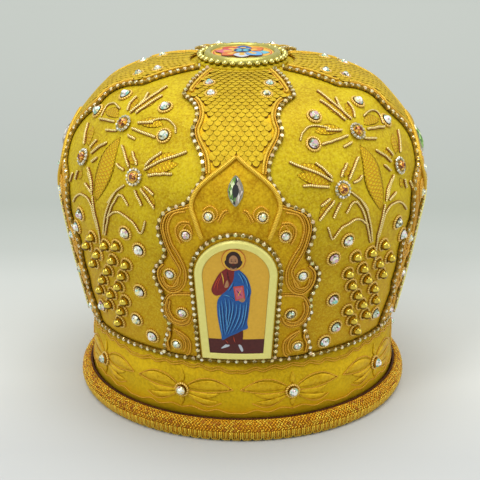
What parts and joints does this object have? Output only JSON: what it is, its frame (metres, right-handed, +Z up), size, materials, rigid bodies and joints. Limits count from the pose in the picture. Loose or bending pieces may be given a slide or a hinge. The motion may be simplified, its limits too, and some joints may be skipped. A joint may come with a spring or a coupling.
{
  "type": "bishop mitre",
  "caption": "Domed bishop's mitre of gold cloth on a braided head band, with four embroidered panels, arched icons, rhinestone chains and crystal brooches.",
  "frame": {"origin": "centre of the base, on the surface that the mitre stands on", "axes": "+Z up along the crown's axis, -Y towards the front panel, +X to the viewer's right when the front is seen"},
  "size_m": [0.2372, 0.2372, 0.2175],
  "materials": {
    "gold_cloth": "satin lame, lemon gold, fine metallic sparkle",
    "panel_cloth": "gold cloth with raised embroidery",
    "brocade": "muted gold brocade with raised leaves, tone on tone",
    "gold_braid": "woven metallic gimp, deep gold, glittering",
    "crystal_chain": "clear rhinestones in silvered cups",
    "frame_enamel": "pale green-gold, satin",
    "picture": "printed picture under clear gloss",
    "amber_stone": "faceted amber stone in a halo of clear crystals",
    "clear_stone": "clear crystal with a rainbow coating, foil backed",
    "gold_bead": "polished gold bead"
  },
  "bodies": {
    "root": {"crown_shell": "gold_cloth", "head_band": "brocade", "base_braid": "gold_braid", "waist_chain": "crystal_chain", "panel_front": "panel_cloth", "panel_right": "panel_cloth", "panel_back": "panel_cloth", "panel_left": "panel_cloth", "edge_chain_front_a": "crystal_chain", "edge_chain_front_b": "crystal_chain", "edge_chain_right_a": "crystal_chain", "edge_chain_right_b": "crystal_chain", "edge_chain_back_a": "crystal_chain", "edge_chain_back_b": "crystal_chain", "edge_chain_left_a": "crystal_chain", "edge_chain_left_b": "crystal_chain", "icon_frame_front": "frame_enamel", "icon_frame_right": "frame_enamel", "icon_frame_back": "frame_enamel", "icon_frame_left": "frame_enamel", "icon_plate_front": "picture", "icon_plate_right": "picture", "icon_plate_back": "picture", "icon_plate_left": "picture", "frame_chain_front": "crystal_chain", "frame_chain_right": "crystal_chain", "frame_chain_back": "crystal_chain", "frame_chain_left": "crystal_chain", "marquise_front": "clear_stone", "marquise_right": "clear_stone", "marquise_back": "clear_stone", "marquise_left": "clear_stone", "top_rim": "frame_enamel", "top_picture": "picture", "top_beads": "gold_bead", "brooch_front_right_1": "amber_stone", "brooch_front_right_2": "amber_stone", "brooch_front_right_3": "amber_stone", "brooch_back_right_1": "amber_stone", "brooch_back_right_2": "amber_stone", "brooch_back_right_3": "amber_stone", "brooch_back_left_1": "amber_stone", "brooch_back_left_2": "amber_stone", "brooch_back_left_3": "amber_stone", "brooch_front_left_1": "amber_stone", "brooch_front_left_2": "amber_stone", "brooch_front_left_3": "amber_stone", "grapes_front_right": "gold_bead", "grapes_back_right": "gold_bead", "grapes_back_left": "gold_bead", "grapes_front_left": "gold_bead", "band_jewel_1": "clear_stone", "band_jewel_2": "clear_stone", "band_jewel_3": "clear_stone", "band_jewel_4": "clear_stone", "band_jewel_5": "clear_stone", "band_jewel_6": "clear_stone", "band_jewel_7": "clear_stone", "band_jewel_8": "clear_stone", "band_jewel_9": "clear_stone"}
  },
  "joints": []
}
